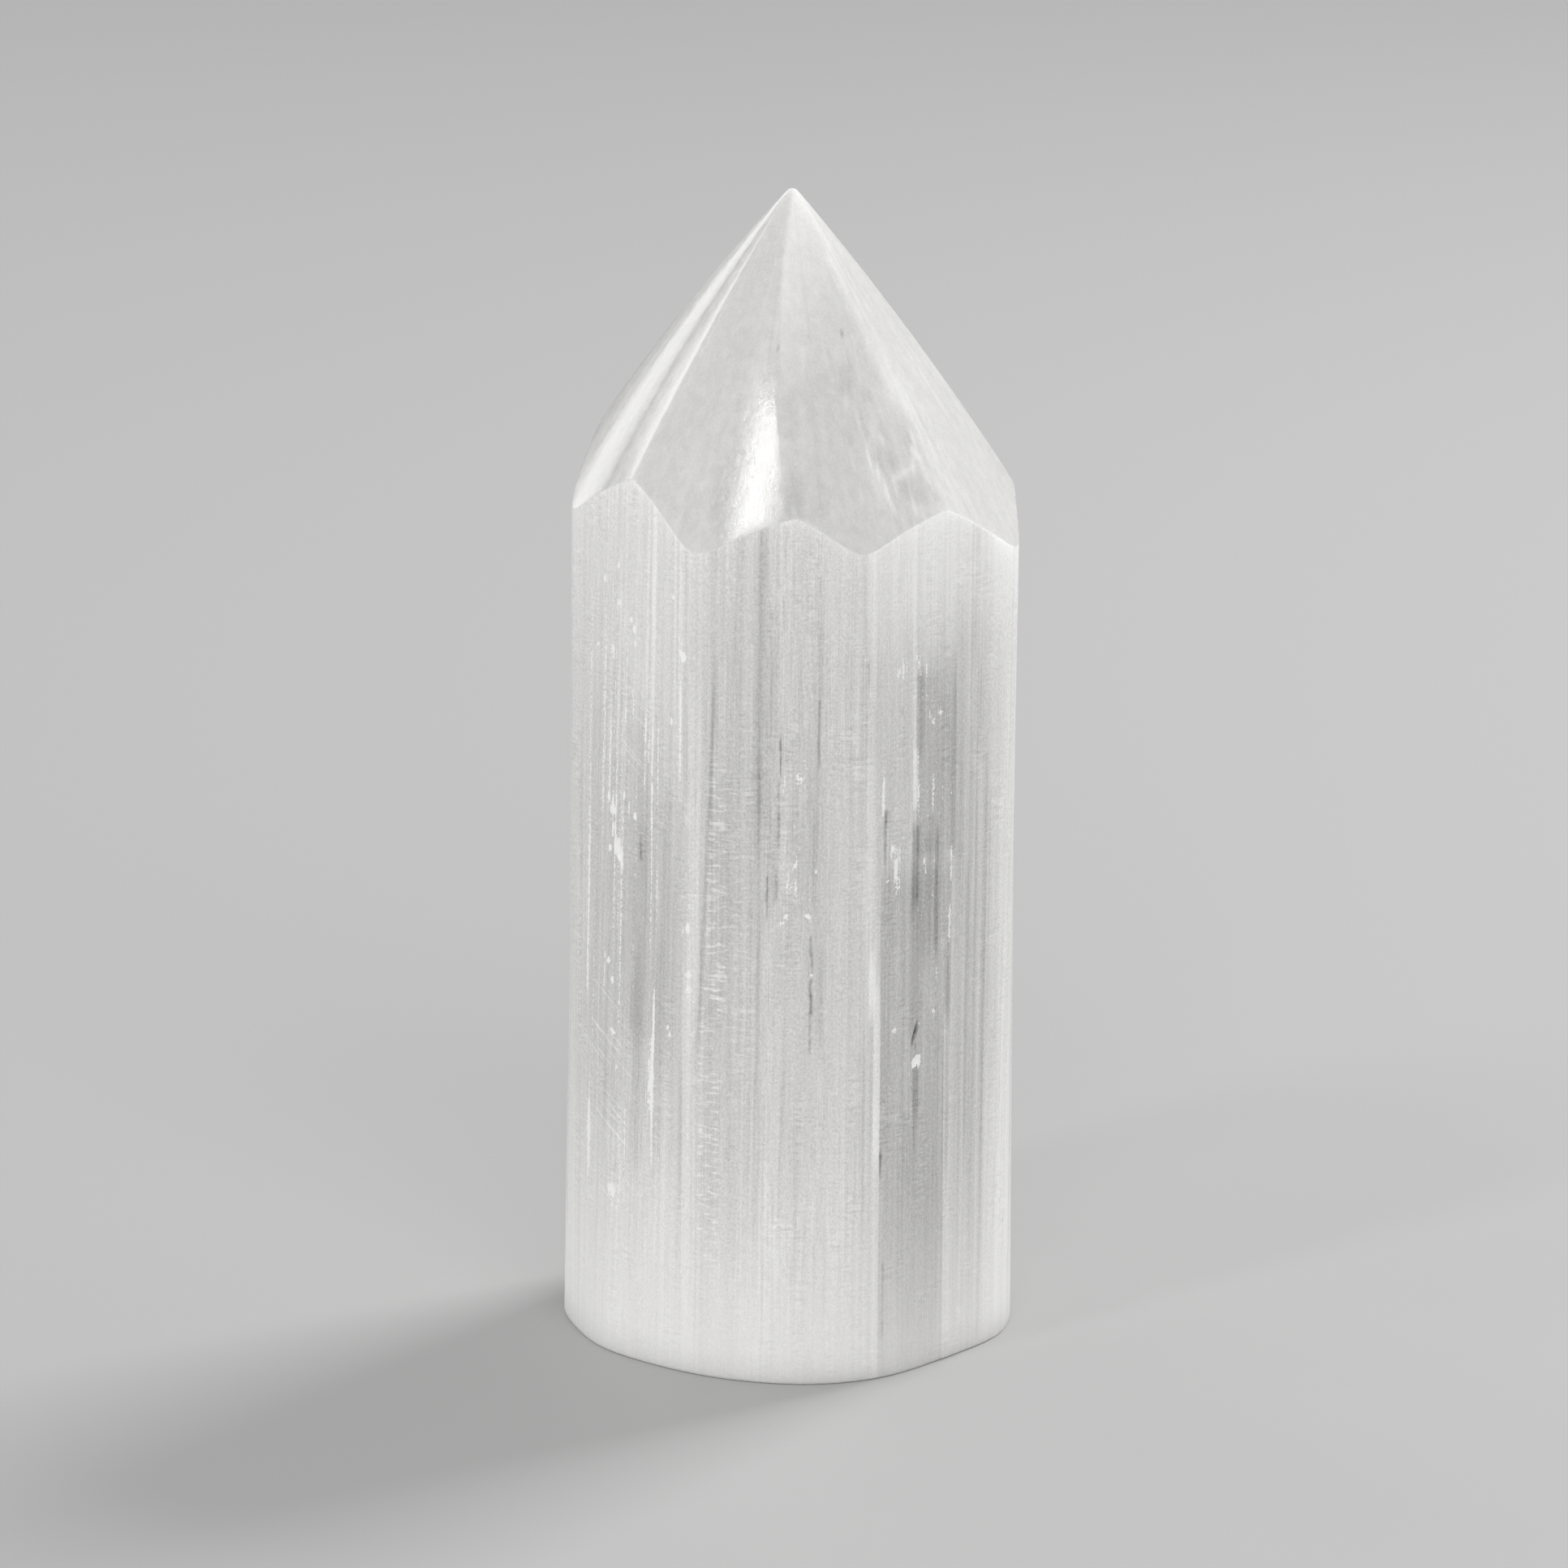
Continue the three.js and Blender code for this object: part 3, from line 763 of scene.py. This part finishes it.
class Shader:
    """Short names for the nodes that a material is built from."""

    def __init__(self, material):
        material.use_nodes = True
        self.tree = material.node_tree
        self.tree.nodes.clear()

    def node(self, kind, settings=None, **inputs):
        """A node with its inputs, by name or, as i0 and so on, by number."""
        made = self.tree.nodes.new("ShaderNode" + kind)
        for name, value in (settings or {}).items():
            setattr(made, name, value)
        for name, value in inputs.items():
            key = int(name[1:]) if name[1:].isdigit() else name.replace("_", " ")
            self.feed(made.inputs[key], value)
        return made

    def feed(self, socket, value):
        """Links a socket or a node to an input, or sets it to a plain value."""
        if isinstance(value, bpy.types.NodeSocket):
            self.tree.links.new(value, socket)
        elif isinstance(value, bpy.types.Node):
            self.tree.links.new(value.outputs[0], socket)
        else:
            socket.default_value = value

    def maths(self, operation, first, second, clamp=False):
        settings = {"operation": operation, "use_clamp": clamp}
        return self.node("Math", settings, i0=first, i1=second).outputs[0]

    def ramp(self, value, low, high, start=0.0, end=1.0):
        """Takes a value from low..high to start..end, eased at both."""
        settings = {"interpolation_type": "SMOOTHSTEP"}
        made = self.node("MapRange", settings, Value=value, i1=low, i2=high, i3=start, i4=end)
        return made.outputs[0]

    def stretched(self, across, up, shift):
        """The stone's coordinates, scaled for a grain's size in millimetres across and up. A shift
        takes them to another part of the noise."""
        place = self.node("TexCoord").outputs["Object"]
        scale = (1 / (across * MM), 1 / (across * MM), 1 / (up * MM))
        return self.node("Mapping", Vector=place, Scale=scale, Location=(shift, shift, shift))

    def noise_at(self, place, detail, roughness):
        """Noise about zero, from about -1 to 1."""
        made = self.node("TexNoise", Vector=place, Scale=1.0, Detail=detail, Roughness=roughness)
        return self.maths("MULTIPLY", self.maths("SUBTRACT", made.outputs[0], 0.5), 2.0)

    def noise(self, across, up, detail, roughness, shift=0.0):
        """Grain that is this many millimetres across and up."""
        return self.noise_at(self.stretched(across, up, shift), detail, roughness)

    def turned_noise(self, along, across, angle):
        """Lines across the front of the stone, turned from level by an angle in degrees."""
        place = self.node("TexCoord").outputs["Object"]
        turn = self.node("Mapping", Vector=place, Rotation=(0, math.radians(angle), 0))
        scale = (1 / (along * MM), 1 / (along * MM), 1 / (across * MM))
        return self.noise_at(self.node("Mapping", Vector=turn, Scale=scale), 2.0, 0.6)

    def clamped(self, value):
        return self.maths("ADD", value, 0.0, clamp=True)

    def attribute(self, name):
        return self.node("Attribute", {"attribute_name": name}).outputs["Fac"]

    def total(self, *terms):
        """The sum of (value, weight) pairs and plain numbers."""
        result = 0.0
        for term in terms:
            value = term
            if isinstance(term, tuple):
                value = self.maths("MULTIPLY", term[0], term[1])
            result = self.maths("ADD", result, value)
        return result

    def blend(self, share, first, second):
        """First where share is 0, second where it is 1."""
        return self.node("Mix", {"data_type": "FLOAT"}, i0=share, i2=first, i3=second).outputs[0]


# The material. A value is a grey from 0 to 1, and a tone's weight is the change of value for a
# tone of 1.
ROD_VALUE = 0.76
TIP_VALUE = 0.69
BRUISE_VALUE = 0.97
ROD_TONE_WEIGHT = 0.145
TIP_TONE_WEIGHT = 0.07
CALMING = 0.6  # where calm is 1, this share of the rod's details is gone
GREEN_SHARE, BLUE_SHARE = 0.993, 0.975  # of red, for a faintly warm white
BUMP_DEPTH = 0.04
GYPSUM_IOR = 1.52
SCATTER_SHARE = 0.6
SCATTER_DEPTH = 3


def selenite_material():
    """Satin gypsum. Its look is carried by the base colour, which also holds painted glow,
    highlights, reflections and shade, and the light that goes through it softens the shading."""
    material = bpy.data.materials.new("satin_selenite")
    s = Shader(material)
    polish, tone, white = s.attribute("polish"), s.attribute("tone"), s.attribute("white")
    hatch, scratch, calm = s.attribute("hatch"), s.attribute("scratch"), s.attribute("calm")

    # Grains and lines, by their size in millimetres across and up
    patches = s.ramp(s.noise(3, 14, 2.0, 0.5, shift=51), -0.35, 0.35, 0.35, 1.4)
    long_fibres = s.noise(0.30, 60, 3.0, 0.65)
    fine_fibres = s.maths("MULTIPLY", s.noise(0.10, 16, 2.0, 0.6, shift=5), patches)
    clouds = s.noise(6, 25, 3.0, 0.5, shift=11)
    grain = s.noise(0.18, 0.22, 2.0, 0.6, shift=3)
    cross_lines = s.noise(1.2, 0.22, 2.0, 0.6, shift=17)
    cross_patches = s.ramp(s.noise(2.0, 5, 2.0, 0.5, shift=9), -0.1, 0.4)
    strokes = s.ramp(s.noise(1.3, 0.26, 1.0, 0.5, shift=29), 0.02, 0.35, -0.35, 1.0)
    scratches = s.ramp(s.turned_noise(7.0, 0.16, -40), 0.13, 0.38)
    specks = s.ramp(s.noise(0.35, 0.5, 1.0, 0.5, shift=41), 0.42, 0.62)
    cross_hatch = s.maths("MULTIPLY", cross_lines, cross_patches)
    hatching = s.maths("MULTIPLY", strokes, hatch)
    sanding = s.maths("MULTIPLY", scratches, scratch)

    # The base colour, as sums of these with their weights
    details = s.total((long_fibres, 0.10), (fine_fibres, 0.12), (grain, 0.20), (specks, 0.08),
                      (cross_hatch, 0.22), (hatching, 0.12), (sanding, 0.19))
    busy = s.total(1.0, (calm, -CALMING))
    rod_value = s.total(ROD_VALUE, (tone, ROD_TONE_WEIGHT), (clouds, 0.03),
                        (s.maths("MULTIPLY", details, busy), 1.0))
    ragged = s.ramp(s.total(white, (grain, 0.80), (fine_fibres, 0.30)), 0.30, 0.80)
    rod_value = s.blend(ragged, rod_value, BRUISE_VALUE)
    mottle = s.noise(0.8, 1.6, 4.0, 0.7, shift=21)
    tip_value = s.total(TIP_VALUE, (tone, TIP_TONE_WEIGHT), (mottle, 0.09), (clouds, 0.04),
                        (grain, 0.07), (specks, 0.04), (fine_fibres, 0.03))
    value = s.clamped(s.blend(polish, rod_value, tip_value))
    colour = s.node("CombineColor", i0=value, i1=s.maths("MULTIPLY", value, GREEN_SHARE),
                    i2=s.maths("MULTIPLY", value, BLUE_SHARE))

    # The gloss and the fine relief
    rod_roughness = s.total(0.44, (fine_fibres, 0.10), (grain, 0.10), (ragged, 0.2))
    tip_roughness = s.clamped(s.total(0.13, (mottle, 0.20), (grain, 0.10), (clouds, 0.04)))
    roughness = s.blend(polish, rod_roughness, tip_roughness)
    rod_heights = s.total((long_fibres, 0.5), (fine_fibres, 0.5), (grain, 0.3), (hatching, 0.4),
                          (sanding, 0.4), (cross_hatch, 0.4))
    tip_heights = s.total((mottle, 0.45), (grain, 0.05), (fine_fibres, 0.06))
    heights = s.blend(polish, rod_heights, tip_heights)
    bump = s.node("Bump", Strength=0.5, Distance=BUMP_DEPTH * MM, Height=heights)
    surface = s.node("BsdfPrincipled", Base_Color=colour, Roughness=roughness, Normal=bump)
    surface.inputs["IOR"].default_value = GYPSUM_IOR
    surface.inputs["Subsurface Weight"].default_value = SCATTER_SHARE
    surface.inputs["Subsurface Radius"].default_value = (1.0, 1.0, 1.0)
    surface.inputs["Subsurface Scale"].default_value = SCATTER_DEPTH * MM
    output = s.node("OutputMaterial")
    s.tree.links.new(surface.outputs[0], output.inputs["Surface"])
    return material


# The stage, in metres
FLOOR_REACH = 6.0
FLOOR_GREY = 0.42
FLOOR_ROUGHNESS = 0.6
WORLD_STRENGTH = 0.5


def floor_material():
    material = bpy.data.materials.new("pale_floor")
    material.use_nodes = True
    surface = material.node_tree.nodes["Principled BSDF"]
    surface.inputs["Base Color"].default_value = (FLOOR_GREY, FLOOR_GREY, FLOOR_GREY, 1)
    surface.inputs["Roughness"].default_value = FLOOR_ROUGHNESS
    return material


def make_floor():
    low, high = -FLOOR_REACH, FLOOR_REACH
    mesh = bpy.data.meshes.new("floor")
    corners = [(low, low, 0), (high, low, 0), (high, high, 0), (low, high, 0)]
    mesh.from_pydata(corners, [], [(0, 1, 2, 3)])
    floor = bpy.data.objects.new("floor", mesh)
    bpy.context.scene.collection.objects.link(floor)
    mesh.materials.append(floor_material())


def aim(thing, place, target):
    """Stands a thing at a place and faces it to a target."""
    thing.location = place
    thing.rotation_mode = "QUATERNION"
    thing.rotation_quaternion = (Vector(target) - Vector(place)).to_track_quat("-Z", "Y")


def make_light(name, azimuth, elevation, distance, size, power, target=(0, 0, 0.05), roll=0):
    """A soft light. Azimuth 0 is in front and 90 at the right. It turns about its own axis by the
    roll. Lengths are in metres and the power is in watts."""
    light = bpy.data.lights.new(name, "AREA")
    light.shape = "RECTANGLE"
    light.size, light.size_y = size
    light.energy = power
    lamp = bpy.data.objects.new(name, light)
    bpy.context.scene.collection.objects.link(lamp)
    a, e = math.radians(azimuth), math.radians(elevation)
    offset = Vector((math.sin(a) * math.cos(e), -math.cos(a) * math.cos(e), math.sin(e)))
    aim(lamp, Vector(target) + offset * distance, target)
    lamp.rotation_quaternion @= Quaternion((0, 0, 1), math.radians(roll))


def make_lights():
    """The lights. The softbox makes the bright reflection left of the ridge at the front, and the
    two cards make those at the left of the tip."""
    make_light("key_back_right", 135, 48, 0.9, (0.25, 0.25), 5.0)
    make_light("fill_front", 10, 35, 1.2, (1.0, 0.8), 5.6)
    make_light("fill_left", -78, 6, 1.1, (0.6, 0.5), 2.6, target=(0, 0, 0.03))
    make_light("fill_right", 105, 4, 1.0, (0.6, 0.5), 1.6, target=(0, 0, 0.03))
    make_light("softbox_front_left", -45.9, 43, 1.0, (0.088, 0.25), 1.12, target=(0, 0, 0.08))
    make_light("card_back_left", -147.7, 12, 0.9, (0.20, 0.45), 0.42, target=(0, 0, 0.085), roll=31)
    make_light("card_left", -125, 22, 0.9, (0.24, 0.25), 0.46, target=(0, 0, 0.085))
    world = bpy.data.worlds.new("studio")
    bpy.context.scene.world = world
    world.use_nodes = True
    background = world.node_tree.nodes["Background"]
    background.inputs["Color"].default_value = (1, 1, 1, 1)
    background.inputs["Strength"].default_value = WORLD_STRENGTH


# The camera, set from the photograph: the picture's width in pixels, the camera's height above
# level and slight tilt in degrees, how far it stands from the stone, its focal length in pixels,
# the point it looks at, and the width of its sensor
PICTURE = 1932
CAMERA_ELEVATION = 15
CAMERA_ROLL = 0.55
CAMERA_DISTANCE = 800
FOCAL_PIXELS = 11434
CAMERA_TARGET = (-0.77, 0.0, 47.7)
SENSOR = 36.0


def make_camera(shift):
    """The photograph's camera. Its target moves back by the shift, as the stone did."""
    data = bpy.data.cameras.new("camera")
    data.sensor_width = SENSOR
    data.lens = FOCAL_PIXELS / PICTURE * SENSOR
    data.clip_start, data.clip_end = 0.05, 20
    camera = bpy.data.objects.new("camera", data)
    bpy.context.scene.collection.objects.link(camera)
    elevation, roll = math.radians(CAMERA_ELEVATION), math.radians(CAMERA_ROLL)
    back = Vector((0, -math.cos(elevation), math.sin(elevation)))
    right = Vector((1, 0, 0))
    up = back.cross(right)
    rolled_right = right * math.cos(roll) + up * math.sin(roll)
    rolled_up = up * math.cos(roll) - right * math.sin(roll)
    target = Vector(CAMERA_TARGET) - Vector((shift[0], shift[1], 0))
    turn = Matrix((rolled_right, rolled_up, back)).transposed().to_4x4()
    camera.matrix_world = Matrix.Translation((target + back * CAMERA_DISTANCE) * MM) @ turn
    bpy.context.scene.camera = camera


mesh, middle = StoneBuilder().mesh()
stone = bpy.data.objects.new("selenite_stone", mesh)
bpy.context.scene.collection.objects.link(stone)
mesh.materials.append(selenite_material())
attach(stone, "root")
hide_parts(NODE)

make_floor()
make_lights()
make_camera(middle)
bpy.context.scene.view_settings.view_transform = "Standard"
